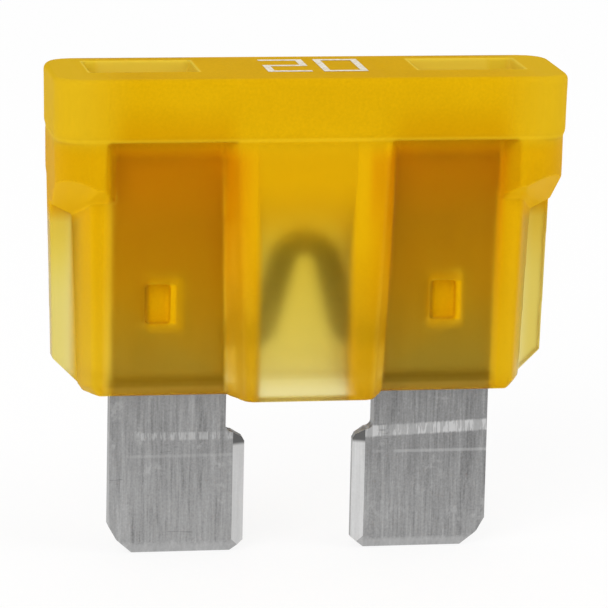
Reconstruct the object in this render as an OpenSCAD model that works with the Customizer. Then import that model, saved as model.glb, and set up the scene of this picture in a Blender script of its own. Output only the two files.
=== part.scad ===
// Plug-in blade fuse of the regular size: one moulded translucent housing, open underneath, over one stamped
// element with two flat blades and an arched fusible link. Millimetres, +Z up, blades down. The origin is midway
// between the blades, on the plane of the housing's underside.

/* [Head] */
// Width of the head along X, at its top
head_w = 19.25; // [18.9:0.05:22]
// Depth of the head along Y, at its top
head_d = 5.1; // [5:0.05:7]
// Height of the head
head_h = 2.4; // [2:0.05:4]
// Plan radius of the head's upright corners
head_corner = 1.1; // [0.6:0.05:1.6]
// Rounding along the head's upper edges
head_edge = 0.25; // [0.1:0.05:0.4]
// Draft of the head's sides, wider at the top, in degrees
head_draft = 1; // [0:0.5:3]
// Width of the small chamfer along the head's lower edges
head_lower_w = 0.08; // [0.04:0.02:0.12]
// Height of the small chamfer along the head's lower edges
head_lower_h = 0.25; // [0.1:0.05:0.4]

/* [Body below the head] */
// Height of the housing, from its underside to its top face
housing_h = 12.2; // [11.5:0.05:15]
// Depth between the recessed panels, at the underside
panel_d = 2.2; // [2:0.05:2.8]
// Draft of the recessed panels, deeper at the top, in degrees
panel_draft = 1.9; // [0:0.1:3]
// Width over the recessed panels' outer edges, at the underside
core_w = 15.9; // [15.6:0.05:16.4]
// Draft of the end walls beside the panels, in degrees
core_draft = 1.4; // [0:0.1:3]
// Rounding of those walls' upright edges and lower corners
core_edge = 0.3; // [0.1:0.05:0.5]
// Slant of the recesses' side walls and of the end walls off the Y axis, in degrees
recess_slant = 24; // [10:1:28]

/* [Centre column] */
// Width of the column's faces, at the underside
column_w = 4.75; // [4.6:0.05:5.2]
// Depth of the column through both faces, at the underside
column_d = 4.9; // [4.6:0.05:4.9]
// Draft of the column's sides, wider at the top, in degrees
column_draft = 2.6; // [0:0.1:3]
// Rounding of the column's upright edges
column_edge = 0.3; // [0.1:0.05:0.5]

/* [Shoulders and end fins] */
// Width over the end fins, at the underside
fin_w = 18.6; // [18.2:0.05:18.8]
// Draft of the outer end faces, wider at the top, in degrees
fin_draft = 1.5; // [0:0.1:2]
// Chamfer off each fin's lower corner
fin_chamfer = 1.17; // [0.6:0.05:2]
// Distance of the fins' front face behind the centre plane
fin_set_back = 0.3; // [0:0.05:0.4]
// Thickness of each fin, at the underside
fin_t = 0.75; // [0.5:0.05:1]
// Height of the shoulders' upright faces
shoulder_h = 1.75; // [0.8:0.05:2.5]
// Distance of the shoulders' inner edges from the centre, on their faces
shoulder_in = 7.75; // [7.4:0.05:8]
// Plan radius of the shoulders' outer corners
shoulder_corner = 1.4; // [0.6:0.05:1.6]
// How far the shoulders stand back from the head's faces
shoulder_step = 0.05; // [0.02:0.01:0.1]
// Slope of the ramp under each shoulder, off level, in degrees
ramp_slope = 29; // [20:1:35]
// Slope of the chamfer under each shoulder's outer corner, off level, in degrees
corner_slope = 41; // [36:1:50]
// Direction that the corner chamfer faces, round from the X axis, in degrees
corner_turn = 53; // [40:1:60]
// Height of the corner chamfer's upper end below the head
corner_drop = 1.05; // [0.8:0.05:1.7]

/* [Cavity and probe pockets] */
// Width of the window cavity inside the column, at the underside
cavity_w = 3.8; // [3.5:0.05:4.3]
// Depth of the window cavity, at the underside
cavity_d = 3.1; // [2.4:0.05:3.4]
// Depth of the window cavity, at its roof
cavity_roof_d = 1.0; // [0.9:0.05:1.6]
// Height of the window cavity
cavity_h = 9.0; // [7.5:0.1:9.6]
// Length of each probe pocket in the top face
pocket_w = 4.0; // [3:0.05:4.2]
// Distance of each pocket's inner end from the centre
pocket_in = 4.15; // [3.6:0.05:4.4]
// Reach of each pocket in front of the centre plane
pocket_front = 0.8; // [0.5:0.05:1]
// Reach of each pocket behind the centre plane
pocket_back = 1.7; // [1:0.05:1.9]
// Depth of each pocket below the top face
pocket_depth = 1.4; // [0.8:0.05:1.8]

/* [Staking] */
// Width of each staking dent
dent_w = 0.95; // [0.6:0.05:1.1]
// Height of each staking dent
dent_h = 1.5; // [1:0.05:1.8]
// Depth of each staking dent
dent_depth = 0.45; // [0.2:0.05:0.5]
// Height of the plug that each dent pushes into the blade's hole
plug_h = 0.25; // [0.1:0.05:0.3]
// How far the staking tool stood off centre along X
dent_shift = -0.19; // [-0.2:0.01:0.2]

/* [Element] */
// Thickness of the blades
blade_t = 0.65; // [0.6:0.05:0.8]
// Span over both blades' outer edges
blade_span = 14.45; // [14.2:0.05:14.9]
// Width of each blade in its socket
blade_w = 5.15; // [4.9:0.05:5.4]
// Width of each blade's neck, which goes into the housing
neck_w = 4.4; // [4.2:0.05:4.7]
// Length of blade below the housing
blade_len = 6.3; // [5:0.05:8]
// Length of bare neck between the housing and the wide part
neck_len = 1.65; // [1:0.05:2.5]
// Height of the rounded inner corner at the top of the wide part
step_round = 0.4; // [0.2:0.05:0.45]
// Width of the large chamfer on each blade's outer lower corner
tip_outer = 0.9; // [0.5:0.05:1.5]
// Width of the small chamfer on each blade's inner lower corner
tip_inner = 0.5; // [0.2:0.05:0.8]
// Width of the coined lead-in bevels
coin_w = 0.46; // [0.2:0.02:0.6]
// Thickness left at a coined edge
coin_t = 0.3; // [0.2:0.05:0.5]
// Width of each blade's staking hole
hole_w = 1.5; // [1.4:0.05:2]
// Height of each blade's staking hole
hole_h = 2.25; // [2:0.05:3]
// Distance of the staking holes from the centre
hole_x = 5.4; // [5.1:0.05:5.6]
// Height of the staking holes above the underside
hole_z = 3.5; // [3.2:0.05:4.5]
// Running clearance between the element and the housing
clearance = 0.03; // [0.02:0.01:0.05]

/* [Fusible link] */
// Thickness of the link
link_t = 0.4; // [0.3:0.05:0.6]
// Width of the link's stroke
link_w = 0.95; // [0.6:0.05:1.05]
// Radius of the arch's centre line
arch_r = 0.85; // [0.7:0.05:1]
// Height of the arch's centre
arch_z = 4.9; // [4.5:0.05:5.5]
// Height of the link's feet, where they join the necks
foot_z = 2.15; // [1.8:0.05:2.5]
// Lean of the arch's legs off upright, in degrees
leg_lean = 14; // [10:1:18]

/* [Hidden] */
eps = 0.01;
far = 40;
yellow = [0.89, 0.66, 0.06, 0.85];
zinc = [0.62, 0.62, 0.64];
body_h = housing_h - head_h;
column_top_d = head_d - 2 * shoulder_step;
slot_t = blade_t + 2 * clearance;
slot_lead = 0.3;
neck_in = blade_span / 2 - neck_w;
element_top = housing_h - pocket_depth;
neck_fillet = 0.25;
shoulder_d = head_d - 2 * shoulder_step;
foot_r = 0.65;
leg_start = [arch_r * cos(leg_lean), arch_z + arch_r * sin(leg_lean)];
foot_drop = leg_start[1] - foot_z - foot_r * (1 - sin(leg_lean));
leg_len = foot_drop / cos(leg_lean);
leg_end = [leg_start[0] + leg_len * sin(leg_lean), leg_start[1] - leg_len * cos(leg_lean)];
foot_centre = [leg_end[0] + foot_r * cos(leg_lean), foot_z + foot_r];
arch_roof = arch_z + arch_r + link_w / 2 + 0.4;

// Both mirror images of a shape in X
module both_ends() {
    for (side = [0, 1]) mirror([side, 0, 0]) children();
}

// Half outline of a block's side: upright with draft, rounded at the top, from the axis out to reach
module drafted_side(reach, height, draft, edge) {
    foot = reach - height * tan(draft);
    round_x = reach - edge * tan(draft) - edge / cos(draft);
    round_z = height - edge;
    polygon([
        [0, 0],
        [foot - head_lower_w, 0],
        [foot + head_lower_h * tan(draft), head_lower_h],
        for (turn = [-draft, 18, 36, 54, 72, 90]) [round_x + edge * cos(turn), round_z + edge * sin(turn)],
        [0, height]
    ]);
}

// The same side on the left and on the right
module drafted_profile(reach, height, draft, edge) {
    for (side = [0, 1]) mirror([side, 0]) drafted_side(reach, height, draft, edge);
}

// Block with rounded upright corners, drafted sides and rounded upper edges, standing on z = 0
module soft_block(w, d, height, corner, draft, edge) {
    rotate([90, 0, 90]) linear_extrude(w - 2 * corner, center = true) drafted_profile(d / 2, height, draft, edge);
    rotate([90, 0, 0]) linear_extrude(d - 2 * corner, center = true) drafted_profile(w / 2, height, draft, edge);
    for (x = [-1, 1], y = [-1, 1]) translate([x * (w / 2 - corner), y * (d / 2 - corner), 0])
        rotate_extrude($fn = 64) drafted_side(corner, height, draft, edge);
}

// Flat outline of a rectangle with rounded corners
module round_rect(w, d, r) {
    square([w - 2 * r, d], center = true);
    square([w, d - 2 * r], center = true);
    for (x = [-1, 1], y = [-1, 1]) translate([x * (w / 2 - r), y * (d / 2 - r)]) circle(r = r, $fn = 32);
}

// Solid that runs from one outline at the lower level to another at the upper level
module between(low, high) {
    hull() {
        translate([0, 0, low]) linear_extrude(eps) children(0);
        translate([0, 0, high]) linear_extrude(eps) children(1);
    }
}

// Plan with two faces, joined by sides that widen towards the centre plane, and with rounded corners
module slanted_plan(face_w, depth, edge) {
    half = depth / 2;
    peak = face_w / 2 + half * tan(recess_slant);
    round_x = face_w / 2 - edge * (1 - sin(recess_slant)) / cos(recess_slant);
    side_x = round_x + edge * cos(recess_slant);
    side_y = half - edge * (1 - sin(recess_slant));
    polygon([
        [round_x, half],
        [side_x, side_y],
        [peak, 0],
        [side_x, -side_y],
        [round_x, -half],
        [-round_x, -half],
        [-side_x, -side_y],
        [-peak, 0],
        [-side_x, side_y],
        [-round_x, half]
    ]);
    for (x = [-1, 1], y = [-1, 1]) translate([x * round_x, y * (half - edge)]) circle(r = edge, $fn = 32);
}

// Raised centre column with the window in it
module column() {
    widening = 2 * body_h * tan(column_draft);
    between(0, body_h) {
        slanted_plan(column_w, column_d, column_edge);
        slanted_plan(column_w + widening, column_top_d, column_edge);
    }
}

// Slimmer part between the recessed panels, which holds the blades' necks
module core() {
    top_w = core_w + 2 * body_h * tan(core_draft);
    top_d = panel_d + 2 * body_h * tan(panel_draft);
    between(0, core_edge) {
        slanted_plan(core_w - 1.4 * core_edge, panel_d, core_edge);
        slanted_plan(core_w, panel_d, core_edge);
    }
    between(core_edge, body_h) {
        slanted_plan(core_w, panel_d, core_edge);
        slanted_plan(top_w, top_d, core_edge);
    }
}

// Front view of the ends: drafted outer edges, with a chamfer under each fin
module end_outline() {
    top_w = fin_w + 2 * body_h * tan(fin_draft);
    polygon([
        [-fin_w / 2 + fin_chamfer, 0],
        [fin_w / 2 - fin_chamfer, 0],
        [fin_w / 2 + fin_chamfer * tan(fin_draft), fin_chamfer],
        [top_w / 2, body_h + eps],
        [-top_w / 2, body_h + eps],
        [-fin_w / 2 - fin_chamfer * tan(fin_draft), fin_chamfer]
    ]);
}

// Side view of the shoulders: upright faces, and a ramp down to the centre plane
module shoulder_side() {
    half = shoulder_d / 2;
    low = body_h - shoulder_h;
    polygon([
        [-half, low],
        [0, low - half * tan(ramp_slope)],
        [half, low],
        [half, body_h + eps],
        [-half, body_h + eps]
    ]);
}

// Everything below the chamfer under the shoulders' right front corner
module below_corner() {
    translate([fin_w / 2, -shoulder_d / 2, body_h - corner_drop]) rotate([0, 0, -corner_turn])
        rotate([0, -corner_slope, 0]) translate([-far / 2, -far / 2, -far]) cube(far);
}

// Thick block under each end of the head
module shoulders() {
    difference() {
        shoulder_blocks();
        for (side = [0, 1], rear = [0, 1]) mirror([side, 0, 0]) mirror([0, rear, 0]) below_corner();
    }
}

// The shoulders before their outer corners are chamfered
module shoulder_blocks() {
    plan_w = fin_w + 2 * body_h * tan(fin_draft) + shoulder_step;
    root = shoulder_in - shoulder_d / 2 * tan(recess_slant);
    intersection() {
        rotate([90, 0, 0]) linear_extrude(far, center = true) end_outline();
        rotate([90, 0, 90]) linear_extrude(far, center = true) shoulder_side();
        linear_extrude(body_h + eps) difference() {
            round_rect(plan_w, shoulder_d, shoulder_corner);
            for (side = [0, 1]) mirror([0, side]) polygon([
                [-root, 0],
                [root, 0],
                [shoulder_in, shoulder_d / 2],
                [shoulder_in, shoulder_d],
                [-shoulder_in, shoulder_d],
                [-shoulder_in, shoulder_d / 2]
            ]);
        }
    }
}

// Thin upright fin at each end, behind the centre plane
module fins() {
    rear = fin_set_back + fin_t;
    intersection() {
        rotate([90, 0, 0]) linear_extrude(far, center = true) end_outline();
        rotate([90, 0, 90]) linear_extrude(far, center = true) polygon([
            [fin_set_back, 0],
            [rear, 0],
            [rear + body_h * tan(panel_draft), body_h],
            [fin_set_back, body_h]
        ]);
    }
}

// Window cavity in the column, open underneath, which narrows towards its roof
module cavity() {
    rotate([90, 0, 90]) linear_extrude(cavity_w, center = true) polygon([
        [-cavity_d / 2 - eps, -eps],
        [cavity_d / 2 + eps, -eps],
        [cavity_roof_d / 2, cavity_h],
        [-cavity_roof_d / 2, cavity_h]
    ]);
}

// Slot that the element slides into from below, with a flared mouth
module element_slot() {
    outer = blade_span / 2 + clearance;
    inner = neck_in - clearance;
    both_ends() translate([inner, -slot_t / 2, -eps]) cube([outer - inner, slot_t, element_top + eps]);
    translate([-inner - eps, -slot_t / 2, -eps]) cube([2 * (inner + eps), slot_t, arch_roof + eps]);
    rotate([90, 0, 90]) linear_extrude(2 * outer, center = true) polygon([
        [-slot_t / 2 - slot_lead, -eps],
        [slot_t / 2 + slot_lead, -eps],
        [slot_t / 2, slot_lead],
        [-slot_t / 2, slot_lead]
    ]);
}

// Pocket over each blade, for a test probe
module probe_pockets() {
    both_ends() translate([pocket_in, -pocket_front, element_top])
        cube([pocket_w, pocket_front + pocket_back, pocket_depth + eps]);
}

// Places the children at the four staking spots, front and rear, with +Z into the panel
module at_stakes() {
    for (x = [-hole_x, hole_x], rear = [0, 1]) rotate([0, 0, 180 * rear])
        translate([(1 - 2 * rear) * (x + dent_shift), 0, hole_z]) rotate([-90, 0, 0]) children();
}

// Dent that the staking tool leaves in a panel
module dents() {
    depth_here = panel_d / 2 + (hole_z - dent_h / 2) * tan(panel_draft) - dent_depth;
    at_stakes() translate([-dent_w / 2, -dent_h / 2, -far]) cube([dent_w, dent_h, far - depth_here]);
}

// Plug of housing material that each dent pushes into the blade's hole
module plugs() {
    at_stakes() translate([-dent_w / 2, -dent_h / 2, -slot_t / 2 - eps]) cube([dent_w, dent_h, plug_h + eps]);
}

module housing() {
    color(yellow) {
        difference() {
            union() {
                translate([0, 0, body_h]) soft_block(head_w, head_d, head_h, head_corner, head_draft, head_edge);
                column();
                core();
                shoulders();
                fins();
            }
            cavity();
            element_slot();
            probe_pockets();
            dents();
        }
        plugs();
    }
}

// Flat outline of the right-hand blade, from its tip to its top inside the housing
module blade_outline() {
    outer = blade_span / 2;
    inner = outer - blade_w;
    step = -neck_len;
    difference() {
        polygon([
            [inner + tip_inner, -blade_len],
            [outer - tip_outer, -blade_len],
            [outer - tip_outer * 0.33, -blade_len + tip_outer * 0.62],
            [outer, -blade_len + tip_outer * 1.2],
            [outer, element_top],
            [neck_in, element_top],
            [neck_in, step + neck_fillet],
            [neck_in - neck_fillet, step],
            [inner + 0.9 * step_round, step - 0.2 * step_round],
            [inner + 0.25 * step_round, step - 0.55 * step_round],
            [inner, step - step_round],
            [inner, -blade_len + tip_inner * 0.8]
        ]);
        translate([neck_in - neck_fillet, step + neck_fillet]) circle(r = neck_fillet, $fn = 32);
        translate([hole_x - hole_w / 2, hole_z - hole_h / 2]) square([hole_w, hole_h]);
    }
}

// Wedge cut off both faces along an edge: +X is out over the edge, Y runs along it
module coin_cut(length) {
    depth = (blade_t - coin_t) / 2;
    for (face = [0, 1]) mirror([0, 0, face]) rotate([90, 0, 0]) linear_extrude(length, center = true) polygon([
        [-coin_w, blade_t / 2],
        [0, blade_t / 2 - depth],
        [coin_w, blade_t / 2 - 2 * depth],
        [coin_w, blade_t],
        [-coin_w, blade_t]
    ]);
}

// Right-hand blade with its coined lead-ins along the inner and lower edges
module blade() {
    inner = blade_span / 2 - blade_w;
    wide_len = blade_len - neck_len;
    difference() {
        rotate([90, 0, 0]) linear_extrude(blade_t, center = true) blade_outline();
        translate([inner, 0, -neck_len - wide_len / 2]) rotate([90, 0, 0]) rotate([0, 0, 180]) coin_cut(wide_len);
        translate([blade_span / 2, 0, -blade_len]) rotate([90, 0, 0]) rotate([0, 0, -90]) coin_cut(2 * blade_w);
    }
}

// Ring of the link's stroke width, cut to a sector a little past two angles, so that it runs into its neighbours
module stroke_arc(r, first, last) {
    reach = 3 * (r + link_w);
    from = first - 1;
    to = last + 1;
    intersection() {
        difference() {
            circle(r = r + link_w / 2, $fn = 64);
            circle(r = r - link_w / 2, $fn = 64);
        }
        polygon([
            [0, 0],
            [reach * cos(from), reach * sin(from)],
            [reach * cos((from + to) / 2), reach * sin((from + to) / 2)],
            [reach * cos(to), reach * sin(to)]
        ]);
    }
}

// Right-hand half of the link: half of the arch, a leaning leg and a foot that turns out to the neck
module link_half() {
    translate([0, arch_z]) stroke_arc(arch_r, leg_lean, 90);
    translate(leg_start) rotate(leg_lean) translate([-link_w / 2, -leg_len]) square([link_w, leg_len]);
    translate(foot_centre) stroke_arc(foot_r, 180 + leg_lean, 270);
    translate([foot_centre[0], foot_z - link_w / 2]) square([neck_in + neck_fillet - foot_centre[0], link_w]);
}

module fuse_element() {
    color(zinc) both_ends() {
        blade();
        rotate([90, 0, 0]) linear_extrude(link_t, center = true) link_half();
    }
}

housing();
fuse_element();
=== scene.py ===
import math
from types import SimpleNamespace

import bpy
import bmesh
from mathutils import Matrix, Vector


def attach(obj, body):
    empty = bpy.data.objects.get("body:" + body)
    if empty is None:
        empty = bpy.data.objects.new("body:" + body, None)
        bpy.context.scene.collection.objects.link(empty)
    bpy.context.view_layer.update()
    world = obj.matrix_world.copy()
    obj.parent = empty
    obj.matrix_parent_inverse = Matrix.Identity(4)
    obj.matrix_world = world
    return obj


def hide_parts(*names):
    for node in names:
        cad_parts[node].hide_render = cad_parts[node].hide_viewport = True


MM = 0.001
FLOOR_Z = -6.3 * MM  # the blades' tips
TOP_Z = 12.2 * MM  # the head's top face

# Camera, solved from the photograph
AZIMUTH, ELEVATION, ROLL = -10.173, 12.586, -1.27  # degrees
FOCAL = 4450.0  # pixels
FRAME = 608  # pixels
SENSOR = 36.0  # millimetres
DISTANCE = 167.24  # millimetres, from the point that it looks at
LOOK_AT = Vector((0.399, 0, 3.132))  # millimetres
OFF_CENTRE = (-7.207, 0.716)  # pixels, from that point to the frame's middle

# Moulding
VOXEL = 0.07 * MM
ROUNDING_FACTOR, ROUNDING_PASSES = 0.5, 3
TOP_SINK = 0.02 * MM  # keeps the softened top face under the ink

# Rating mark, in millimetres on the top face
STROKE = 0.27
FIGURE_HEIGHT, FIGURE_WIDTH, FIGURE_GAP = 2.70, 1.67, 0.42
FIGURES_LEFT, FIGURES_MIDDLE = -1.57, 0.34
INK_SINK = 0.012 * MM
INK_STEP = 0.0004 * MM  # keeps crossing strokes apart

# Studio
FLOOR_HALF = 4.0  # metres
FLOOR_DROP = 0.02 * MM
FLOOR_GLOW = 0.82  # the share of plain white where the floor is seen
LAMPS = (  # name, place and size in metres, power in watts
    ("key", (-0.15, -0.24, 0.17), 0.22, 0.45),
    ("fill", (0.24, -0.10, 0.16), 0.20, 0.2),
    ("back", (0.02, 0.26, 0.22), 0.24, 0.15),
)
LAMP_AIM = Vector((0, 0, 3 * MM))

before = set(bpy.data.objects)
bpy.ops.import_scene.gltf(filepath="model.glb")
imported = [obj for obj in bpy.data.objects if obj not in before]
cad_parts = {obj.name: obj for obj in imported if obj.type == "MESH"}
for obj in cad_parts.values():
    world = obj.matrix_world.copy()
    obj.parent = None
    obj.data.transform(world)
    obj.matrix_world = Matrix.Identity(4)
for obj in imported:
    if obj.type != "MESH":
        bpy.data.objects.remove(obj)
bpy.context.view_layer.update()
scene = bpy.context.scene
scene.view_settings.view_transform = "Standard"


# Camera: the photograph's angle, distance and slight roll

def place_camera():
    azimuth, elevation, roll = (math.radians(angle) for angle in (AZIMUTH, ELEVATION, ROLL))
    right = Vector((math.cos(azimuth), math.sin(azimuth), 0))
    level = math.cos(elevation)
    back = Vector((math.sin(azimuth) * level, -math.cos(azimuth) * level, math.sin(elevation)))
    up = back.cross(right)
    place = (LOOK_AT + back * DISTANCE) * MM
    across = right * math.cos(roll) - up * math.sin(roll)
    upward = right * math.sin(roll) + up * math.cos(roll)
    turn = across * (OFF_CENTRE[0] / FOCAL) + upward * (OFF_CENTRE[1] / FOCAL)
    z = -(turn - back).normalized()
    x = (across - z * across.dot(z)).normalized()
    y = z.cross(x)
    data = bpy.data.cameras.new("camera")
    data.sensor_width = SENSOR
    data.lens = FOCAL * SENSOR / FRAME
    data.clip_start = 0.01
    data.clip_end = 20
    camera = bpy.data.objects.new("camera", data)
    camera.matrix_world = Matrix.Translation(place) @ Matrix((x, y, z)).transposed().to_4x4()
    scene.collection.objects.link(camera)
    scene.camera = camera


# Node helpers

class Graph:
    """The node tree of a material or world, filled in by short calls"""

    def __init__(self, owner, output="ShaderNodeOutputMaterial"):
        owner.use_nodes = True
        self.tree = owner.node_tree
        self.tree.nodes.clear()
        self.out = self.add(output)

    def add(self, kind, inputs=None, **attributes):
        node = self.tree.nodes.new(kind)
        for name, value in attributes.items():
            setattr(node, name, value)
        for name, value in (inputs or {}).items():
            self.put(node.inputs[name], value)
        return node

    def put(self, socket, value):
        if isinstance(value, bpy.types.NodeSocket):
            self.tree.links.new(value, socket)
        else:
            socket.default_value = value

    def surface(self, shader):
        self.put(self.out.inputs["Surface"], shader.outputs[0])

    def math(self, operation, a, b=0.0, c=0.0, clamp=False):
        node = self.add("ShaderNodeMath", operation=operation, use_clamp=clamp)
        for socket, value in zip(node.inputs, (a, b, c)):
            self.put(socket, value)
        return node.outputs[0]

    def plus(self, a, b, clamp=False):
        return self.math("ADD", a, b, clamp=clamp)

    def times(self, first, *factors):
        for factor in factors:
            first = self.math("MULTIPLY", first, factor)
        return first

    def scaled(self, value, gain, offset, clamp=False):
        """value * gain + offset"""
        return self.math("MULTIPLY_ADD", value, gain, offset, clamp)

    def most(self, a, b):
        return self.math("MAXIMUM", a, b)

    def size(self, value):
        return self.math("ABSOLUTE", value)

    def outside(self, value):
        """1 - value"""
        return self.math("SUBTRACT", 1.0, value)

    def step(self, value, low, high):
        """0 below low, 1 above high, smooth between them"""
        node = self.add("ShaderNodeMapRange", {0: value, 1: low, 2: high}, interpolation_type="SMOOTHSTEP")
        return node.outputs[0]

    def band(self, value, low, rise, fall, high):
        """1 from rise to fall, 0 below low and above high"""
        return self.times(self.step(value, low, rise), self.outside(self.step(value, fall, high)))

    def mix(self, factor, a, b):
        node = self.add("ShaderNodeMix", data_type="RGBA")
        self.put(node.inputs[0], factor)
        self.put(node.inputs[6], a)
        self.put(node.inputs[7], b)
        return node.outputs[2]

    def ramp(self, factor, stops):
        node = self.add("ShaderNodeValToRGB", {"Fac": factor})
        elements = node.color_ramp.elements
        while len(elements) < len(stops):
            elements.new(0.5)
        for element, (place, colour) in zip(elements, stops):
            element.position = place
            element.color = colour
        return node.outputs["Color"]

    def parts(self, vector):
        return self.add("ShaderNodeSeparateXYZ", {0: vector}).outputs

    def position(self, scale=(1, 1, 1), place=(0, 0, 0)):
        """Object coordinates in millimetres, scaled"""
        coords = self.add("ShaderNodeTexCoord").outputs["Object"]
        node = self.add("ShaderNodeMapping")
        self.put(node.inputs["Vector"], coords)
        node.inputs["Scale"].default_value = [s / MM for s in scale]
        node.inputs["Location"].default_value = place
        return node.outputs[0]

    def axes(self):
        """The three object coordinates in millimetres"""
        return self.parts(self.position())

    def facing(self):
        """The three parts of the surface's own direction"""
        return self.parts(self.add("ShaderNodeNewGeometry").outputs["True Normal"])

    def noise(self, scale, place=(0, 0, 0), detail=2.0, roughness=0.5):
        """Noise with that many features per millimetre along each axis"""
        return self.add("ShaderNodeTexNoise", {
            "Vector": self.position(scale, place), "Scale": 1.0, "Detail": detail, "Roughness": roughness,
        }).outputs["Fac"]


def rgb(red, green, blue):
    return (red, green, blue, 1)


def grey(value):
    return rgb(value, value, value)


# Plastic. Heights and distances are in millimetres.

def moulding_places(g):
    """Masks for the moulding's places, from 0 to 1"""
    x, y, z = g.axes()
    side, front = g.size(x), g.size(y)
    inward = g.size(g.plus(x, 0.15))
    # on the front face the column's haze starts a little to the left, as the window's place asks
    window_side = g.size(g.scaled(g.step(y, 0.0, -1.0), 0.27, x))
    wall = g.times(g.step(window_side, 1.50, 1.92), g.outside(g.step(side, 3.0, 3.4)))
    behind = g.times(g.band(side, 4.0, 4.3, 8.0, 8.3), g.step(z, 10.7, 11.0), g.step(y, 2.0, 2.3))
    pocket = g.times(g.band(side, 4.0, 4.12, 8.18, 8.3), g.step(z, 10.7, 10.95))
    pocket = g.times(pocket, g.band(y, -0.9, -0.8, 1.7, 1.8))
    return SimpleNamespace(
        x=x, z=z, side=side,
        right=g.step(x, -2.0, 2.0),
        rise=g.step(z, 0.0, 9.0),
        head=g.step(z, 9.2, 10.0),
        panels=g.band(inward, 2.6, 3.0, 7.25, 7.55),
        core_ends=g.band(inward, 7.05, 7.5, 8.1, 8.7),
        core_edges=g.band(inward, 7.25, 7.55, 8.1, 8.6),
        fins=g.step(side, 8.0, 9.0),
        shoulders=g.times(g.step(side, 7.2, 7.8), g.step(z, 6.0, 7.0)),
        column=g.times(wall, g.step(front, 1.0, 1.4)),
        window=g.outside(g.step(side, 2.0, 3.0)),
        staked=g.times(g.band(side, 4.2, 4.85, 5.75, 6.4), g.band(z, 2.05, 2.75, 4.3, 5.0)),
        dents=g.times(g.band(side, 4.84, 4.98, 5.82, 5.96), g.band(z, 2.66, 2.84, 4.16, 4.34)),
        pocket=pocket,
        pocket_or_behind=g.most(pocket, behind),
    )


def clear_tint(g, at):
    """The clear share's own tint: purer yellow where the real path through the plastic is longer; painted shade
    on the right fin, and painted shadow lines across the panels' foot and under the link
    """
    z = at.z
    tint = g.mix(g.step(z, 4.0, 9.2), rgb(0.92, 0.91, 0.92), rgb(0.94, 0.90, 0.55))
    tint = g.mix(g.times(at.panels, g.scaled(g.step(z, 0.0, 6.0), 0.6, 0.4)), tint, rgb(0.95, 0.86, 0.26))
    core = g.mix(g.step(z, 1.0, 7.0), rgb(0.88, 0.80, 0.10), rgb(0.82, 0.68, 0.02))
    tint = g.mix(at.core_edges, tint, core)
    # the right fin is tinted darker than the left: painted shade on the right side
    left_fin = g.mix(g.step(z, 3.0, 6.0), rgb(0.82, 0.76, 0.42), rgb(0.83, 0.74, 0.22))
    shaded_right_fin = g.mix(g.step(z, 3.5, 7.0), rgb(0.76, 0.66, 0.27), rgb(0.78, 0.62, 0.14))
    tint = g.mix(at.fins, tint, g.mix(at.right, left_fin, shaded_right_fin))
    # painted shadow: a dark band across the panels' foot, where the plastic meets the metal at the slot's mouth
    painted_lip_shadow = g.times(at.panels, g.band(z, 0.25, 0.42, 0.55, 0.8))
    tint = g.mix(g.times(painted_lip_shadow, 0.7), tint, rgb(0.25, 0.20, 0.10))
    # painted shadow: a soft darker line across the window, under the link
    shadow_below_link = g.times(g.outside(g.step(at.side, 1.5, 2.1)), g.band(z, 0.78, 0.95, 1.02, 1.35))
    return g.mix(g.times(shadow_below_link, 0.35), tint, rgb(0.55, 0.46, 0.25))


def milky_share(g, at):
    """Where the moulding is solid from front to back it looks milky"""
    side, z = at.side, at.z
    beside_window = g.times(g.step(z, 3.5, 9.5), 0.40)
    in_window = g.times(g.step(z, 5.2, 8.6), 0.62)
    share = g.plus(g.mix(at.window, beside_window, in_window), 0.03)
    for place, amount in (
        (at.head, 0.85),
        (at.column, g.scaled(g.step(z, 2.4, 5.2), 0.24, 0.50)),
        (at.core_ends, g.scaled(at.rise, 0.32, 0.46)),
        (at.shoulders, 0.75),
        (at.panels, g.scaled(g.step(z, 0.8, 4.5), 0.14, 0.10)),
        (at.staked, g.scaled(at.dents, 0.44, 0.44)),
    ):
        share = g.most(share, g.times(place, amount))

    # painted light: more milky share in the panels, where light spreads from the milky column and head, and less
    # on the right, which is painted shade
    spread = g.step(g.scaled(side, -0.75, z), -2.1, -1.3)
    spread = g.scaled(spread, 0.04, g.scaled(at.right, -0.08, 0.08))
    spread = g.scaled(g.times(at.right, g.step(z, 4.0, 8.0)), -0.05, spread)
    corner = g.times(g.step(z, 8.0, 9.6), g.outside(g.step(side, 3.2, 4.8)))
    spread = g.scaled(corner, 0.22, spread)
    spread = g.scaled(g.step(z, 8.95, 9.50), 0.55, spread)
    spread = g.times(spread, g.outside(g.step(z, 9.72, 9.82)))
    share = g.scaled(g.times(at.panels, spread), g.outside(share), share)
    return g.scaled(g.times(share, at.pocket_or_behind), -0.25, share)


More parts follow.
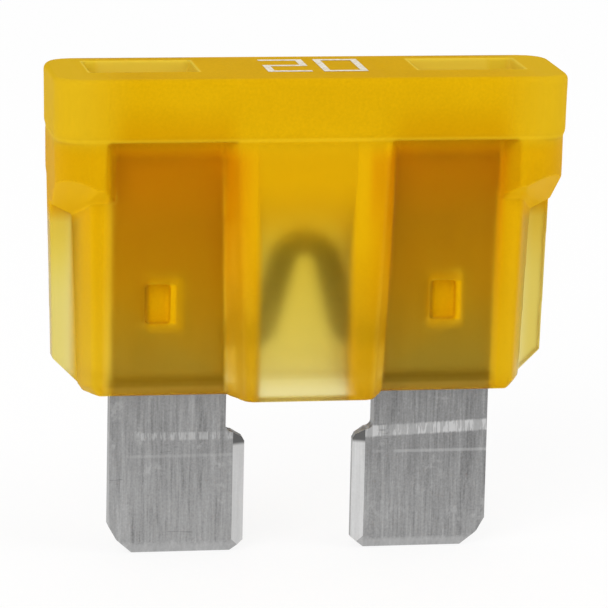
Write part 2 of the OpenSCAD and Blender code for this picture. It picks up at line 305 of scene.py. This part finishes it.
def milky_tone(g, at, fine, wide):
    """The milky share's colour: more orange beside the metal, where the light has come a long way, painted in;
    with painted shade over the blades and on the right flank, painted light on the downward ramps and the
    pockets, and a painted highlight along the head's lower edge
    """
    side, z = at.side, at.z
    below = g.outside(g.step(z, 8.9, 9.9))
    beside = g.times(g.band(side, 1.7, 3.4, 7.1, 7.6), below)
    warm = g.times(beside, g.scaled(at.rise, 0.75, 0.1), g.scaled(at.staked, -0.9, 1.0))
    # painted shade: the right flank beside the column darker orange, on the right side only
    shaded_right_flank = g.times(g.band(at.x, 1.9, 2.3, 3.2, 3.6), g.step(z, 4.5, 8.5), below)
    warm = g.most(warm, g.times(shaded_right_flank, 0.50))
    # painted shade: the head darker where the blades stand behind it
    shade_over_blades = g.times(g.band(side, 2.4, 3.6, 6.8, 7.8), g.band(z, 9.6, 9.9, 10.0, 11.6))
    # painted light: the downward-facing ramps under the shoulders made lighter
    down = g.step(g.times(g.facing()[2], -1.0), 0.25, 0.50)
    lit_ramps = g.times(g.step(side, 7.3, 7.6), down, g.band(z, 6.0, 6.4, 8.9, 9.3))
    # painted highlight: a thin light line along the head's lower edge
    head_edge_highlight = g.band(z, 9.79, 9.84, 9.91, 9.99)

    varied = g.scaled(fine, 1.2, g.scaled(wide, 0.8, -0.5), clamp=True)
    tone = g.mix(varied, rgb(0.71, 0.37, 0.001), rgb(0.78, 0.43, 0.002))
    head_tone = g.mix(varied, rgb(0.63, 0.355, 0.001), rgb(0.75, 0.435, 0.003))
    head_tone = g.mix(g.times(at.head, g.step(side, 6.5, 9.0)), head_tone, rgb(0.72, 0.45, 0.010))
    for place, colour in (
        (g.times(at.window, g.step(z, 4.5, 6.5)), rgb(0.83, 0.465, 0.002)),
        (at.head, head_tone),
        (g.times(shade_over_blades, 0.5), rgb(0.60, 0.27, 0.0)),
        # painted light: the pockets lighter, as if lit through their thin rear wall
        (at.pocket, rgb(0.96, 0.70, 0.05)),
        (lit_ramps, rgb(0.90, 0.52, 0.004)),
        (g.times(head_edge_highlight, 0.35), rgb(0.88, 0.60, 0.02)),
        (warm, rgb(0.74, 0.24, 0.0)),
    ):
        tone = g.mix(place, tone, colour)
    return tone


def plastic_material():
    """Hazy translucent plastic: thick parts look milky, thin walls let the light through"""
    material = bpy.data.materials.new("amber_plastic")
    g = Graph(material)
    at = moulding_places(g)
    wide = g.noise((0.35, 0.35, 0.35), detail=3)
    fine = g.noise((9, 9, 9))
    bump = g.add("ShaderNodeBump", {"Height": fine, "Strength": 0.05, "Distance": 0.01 * MM})
    clear = g.add("ShaderNodeBsdfPrincipled", {
        "Base Color": clear_tint(g, at), "Roughness": g.scaled(wide, 0.08, 0.40), "IOR": 1.5,
        "Transmission Weight": 1.0, "Specular Tint": rgb(1.0, 0.72, 0.06), "Normal": bump.outputs[0]})
    milky = g.add("ShaderNodeBsdfPrincipled", {
        "Base Color": milky_tone(g, at, fine, wide), "Roughness": 0.5, "Specular IOR Level": 0.0,
        "Normal": bump.outputs[0]})
    g.surface(g.add("ShaderNodeMixShader", {0: milky_share(g, at), 1: clear.outputs[0], 2: milky.outputs[0]}))
    inside = g.add("ShaderNodeVolumeAbsorption", {"Color": rgb(0.986, 0.88, 0.0), "Density": 900.0})
    g.put(g.out.inputs["Volume"], inside.outputs[0])
    return material


# Metal, ink and floor

def pressed_marks(g, x, z, right, streak):
    """Marks across the wide part's upper end: a broken bright band and a fainter line"""
    ticks = g.step(g.noise((8, 8, 0.9), (7, 0, 0), 3, 0.7), 0.44, 0.56)
    patchy = g.step(g.noise((0.55, 0.55, 0.2), (2.2, 0, 0)), 0.38, 0.48)
    lean = g.scaled(g.most(g.math("SUBTRACT", x, 2.0), 0.0), -0.04, z)
    off = g.scaled(g.times(right, streak), -0.13, g.size(g.plus(lean, 1.77)))
    band = g.outside(g.step(off, 0.10, 0.20))
    solid = g.most(ticks, g.times(right, 0.45))
    line = g.times(g.band(z, -2.62, -2.55, -2.51, -2.44), patchy)
    return g.most(g.times(solid, patchy, band), g.times(line, 0.35))


def metal_material():
    """Grey zinc alloy: rolled streaks along the blades, fine grain, tool marks and a few scratches"""
    material = bpy.data.materials.new("rolled_zinc")
    g = Graph(material)
    x, _, z = g.axes()
    broad = g.noise((2.6, 2.6, 0.16), detail=5, roughness=0.6)
    streak = g.noise((9, 9, 0.5), (4, 0, 0), 5, 0.65)
    grain = g.noise((13, 13, 11), (0, 2, 5), 3, 0.7)
    smudge = g.noise((1.5, 1.5, 1.3), (3, 1, 2), 5, 0.7)
    level = g.scaled(grain, 0.26, g.scaled(broad, 0.34, g.times(streak, 0.40)))
    tone = g.ramp(level, [(0.36, grey(0.14)), (0.46, grey(0.29)), (0.54, grey(0.38)), (0.64, grey(0.52))])
    # painted shade: the blades darker towards the housing and lighter towards their tips
    upper = g.band(z, -5.5, -1.0, -0.2, 0.2)
    tone = g.mix(upper, g.mix(0.15, tone, grey(0.52)), g.mix(0.22, tone, grey(0.16)))
    tone = g.mix(g.times(g.step(smudge, 0.56, 0.70), 0.35), tone, grey(0.60))

    right = g.step(x, -0.5, 0.5)
    marks = g.times(pressed_marks(g, x, z, right, streak), g.scaled(right, 0.45, 0.42))
    tone = g.mix(marks, tone, grey(0.72))
    # painted light and shade: the left blade lighter, the right blade darker
    tone = g.mix(0.10, tone, g.mix(right, grey(0.55), grey(0.08)))

    # painted highlight on the coined bevels, most along the side, and a painted shadow in their fold
    across, through, _ = g.facing()
    coined = g.band(g.size(through), 0.85, 0.90, 0.955, 0.985)
    along_side = g.step(g.size(across), 0.2, 0.3)
    tip_bevel = g.mix(level, grey(0.18), grey(0.66))
    side_bevel = g.mix(level, grey(0.36), grey(0.86))
    bright = g.mix(along_side, tip_bevel, side_bevel)
    # painted shadow in the fold at the top of the side bevels
    bright = g.mix(g.times(along_side, g.step(z, -2.22, -2.05)), bright, grey(0.13))
    tone = g.mix(g.times(coined, g.most(along_side, g.step(z, -5.86, -6.06))), tone, bright)

    thin = g.noise((0.9, 0.9, 14), (1.3, 0, 0.4), 2, 0.4)
    rare = g.step(g.noise((0.7, 0.7, 0.7), (9, 0, 1), 1), 0.62, 0.70)
    scratch = g.times(g.step(thin, 0.66, 0.70), rare)
    tone = g.mix(g.times(scratch, 0.6), tone, grey(0.14))

    # painted shade: the link, inside the housing, darker than the blades, most towards its top
    link = g.times(g.outside(g.step(g.size(x), 2.3, 2.9)), g.step(z, 0.6, 1.2))
    tone = g.mix(g.times(link, 0.8), tone, g.mix(g.step(z, 2.6, 4.6), grey(0.38), grey(0.22)))

    height = g.math("SUBTRACT", level, g.times(scratch, 0.5))
    bump = g.add("ShaderNodeBump", {"Height": height, "Strength": 0.35, "Distance": 0.012 * MM})
    g.surface(g.add("ShaderNodeBsdfPrincipled", {
        "Base Color": tone, "Metallic": 1.0, "Roughness": g.scaled(grain, 0.18, 0.33),
        "Normal": bump.outputs[0]}))
    return material


def ink_material():
    """White ink, a little worn"""
    material = bpy.data.materials.new("white_ink")
    g = Graph(material)
    worn = g.noise((7, 7, 7), detail=3)
    tone = g.ramp(worn, [(0.32, rgb(0.62, 0.54, 0.38)), (0.58, rgb(0.83, 0.78, 0.68))])
    g.surface(g.add("ShaderNodeBsdfPrincipled", {"Base Color": tone, "Roughness": 0.55}))
    return material


def floor_material():
    """White where it is seen, directly or in and through the object, with the object's shadow on it"""
    material = bpy.data.materials.new("white_floor")
    g = Graph(material)
    ray = g.add("ShaderNodeLightPath").outputs
    seen = g.plus(ray["Is Camera Ray"], ray["Is Glossy Ray"], clamp=True)
    seen = g.plus(seen, ray["Is Transmission Ray"], clamp=True)
    tone = g.mix(g.noise((0.02, 0.02, 0.02)), grey(0.955), grey(0.975))
    lit = g.add("ShaderNodeBsdfDiffuse", {"Color": tone})
    glow = g.add("ShaderNodeEmission", {"Color": grey(1.0), "Strength": 1.0})
    share = g.times(seen, FLOOR_GLOW)
    g.surface(g.add("ShaderNodeMixShader", {0: share, 1: lit.outputs[0], 2: glow.outputs[0]}))
    return material


# Pieces

def new_object(name, mesh, material):
    piece = bpy.data.objects.new(name, mesh)
    mesh.materials.clear()
    mesh.materials.append(material)
    scene.collection.objects.link(piece)
    return piece


def settled(piece):
    """Applies the piece's modifiers to its mesh"""
    depsgraph = bpy.context.evaluated_depsgraph_get()
    mesh = bpy.data.meshes.new_from_object(piece.evaluated_get(depsgraph))
    piece.modifiers.clear()
    piece.data = mesh


def cleaned_copy(node):
    """A copy of a CAD node's mesh with its double points joined"""
    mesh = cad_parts[node].data.copy()
    bm = bmesh.new()
    bm.from_mesh(mesh)
    bmesh.ops.remove_doubles(bm, verts=bm.verts, dist=0.001 * MM)
    bm.to_mesh(mesh)
    bm.free()
    mesh.name = node + "_form"
    return mesh


def moulded_housing(material):
    """The moulding with its small edge roundings, in the solids' own form"""
    piece = new_object("moulded_housing", cleaned_copy("housing"), material)
    grid = piece.modifiers.new("grid", "REMESH")
    grid.mode = "VOXEL"
    grid.voxel_size = VOXEL
    soft = piece.modifiers.new("soft", "SMOOTH")
    soft.factor = ROUNDING_FACTOR
    soft.iterations = ROUNDING_PASSES
    settled(piece)
    for polygon in piece.data.polygons:
        polygon.use_smooth = True
    for vertex in piece.data.vertices:
        vertex.co.z = min(vertex.co.z, TOP_Z - TOP_SINK)
    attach(piece, "root")
    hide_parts("housing")


def stamped_element(material):
    """The stamping keeps its own solid, coined bevels and all"""
    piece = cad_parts["fuse_element"]
    piece.data.materials.clear()
    piece.data.materials.append(material)


def rating_mark(material):
    """Plain figures in block strokes, printed flat on the head"""
    low, high = FIGURES_MIDDLE - FIGURE_HEIGHT / 2, FIGURES_MIDDLE + FIGURE_HEIGHT / 2
    middle, half = FIGURES_MIDDLE, STROKE / 2
    left = FIGURES_LEFT
    right = left + FIGURE_WIDTH
    two = [
        (left, high - STROKE, right, high),
        (right - STROKE, middle, right, high),
        (left, middle - half, right, middle + half),
        (left, low, left + STROKE, middle),
        (left, low, right, low + STROKE),
    ]
    left = right + FIGURE_GAP
    right = left + FIGURE_WIDTH
    nought = [
        (left, high - STROKE, right, high),
        (left, low, right, low + STROKE),
        (left, low, left + STROKE, high),
        (right - STROKE, low, right, high),
    ]
    points, faces = [], []
    level = TOP_Z - INK_SINK
    for x0, y0, x1, y1 in two + nought:
        first = len(points)
        points += [(x * MM, y * MM, level) for x, y in ((x0, y0), (x1, y0), (x1, y1), (x0, y1))]
        faces.append((first, first + 1, first + 2, first + 3))
        level += INK_STEP
    mesh = bpy.data.meshes.new("rating_mark")
    mesh.from_pydata(points, [], faces)
    piece = new_object("rating_mark", mesh, material)
    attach(piece, "root")


# Studio

def white_floor():
    mesh = bpy.data.meshes.new("floor")
    half = FLOOR_HALF
    corners = [(-half, -half, 0), (half, -half, 0), (half, half, 0), (-half, half, 0)]
    mesh.from_pydata(corners, [], [(0, 1, 2, 3)])
    floor = new_object("floor", mesh, floor_material())
    floor.location.z = FLOOR_Z - FLOOR_DROP


def soft_tent():
    """A world that is white where it is seen, and bright overhead and at the sides where it lights the object"""
    world = bpy.data.worlds.new("studio")
    scene.world = world
    g = Graph(world, "ShaderNodeOutputWorld")
    x, y, z = g.parts(g.add("ShaderNodeTexCoord").outputs["Generated"])

    def spread(value, low, high, at_low, at_high):
        return g.add("ShaderNodeMapRange", {0: value, 1: low, 2: high, 3: at_low, 4: at_high}).outputs[0]

    aside = spread(g.size(x), 0.25, 0.75, 0.0, 0.62)
    above = spread(z, 0.3, 1.0, 0.0, 0.25)
    back = spread(y, 0.1, 0.9, 0.36, 0.12)
    strength = g.plus(g.plus(aside, above), back)
    tent = g.add("ShaderNodeBackground", {"Color": grey(1.0), "Strength": strength})
    plain = g.add("ShaderNodeBackground", {"Color": grey(1.0), "Strength": 1.0})
    ray = g.add("ShaderNodeLightPath").outputs
    seen = g.plus(ray["Is Camera Ray"], ray["Is Transmission Ray"], clamp=True)
    g.surface(g.add("ShaderNodeMixShader", {0: seen, 1: tent.outputs[0], 2: plain.outputs[0]}))


def lamps():
    for name, place, size, power in LAMPS:
        data = bpy.data.lights.new(name, "AREA")
        data.size = size
        data.energy = power
        lamp = bpy.data.objects.new(name, data)
        lamp.location = place
        lamp.rotation_euler = (LAMP_AIM - Vector(place)).to_track_quat("-Z", "Y").to_euler()
        scene.collection.objects.link(lamp)


place_camera()
white_floor()
soft_tent()
lamps()
moulded_housing(plastic_material())
stamped_element(metal_material())
rating_mark(ink_material())
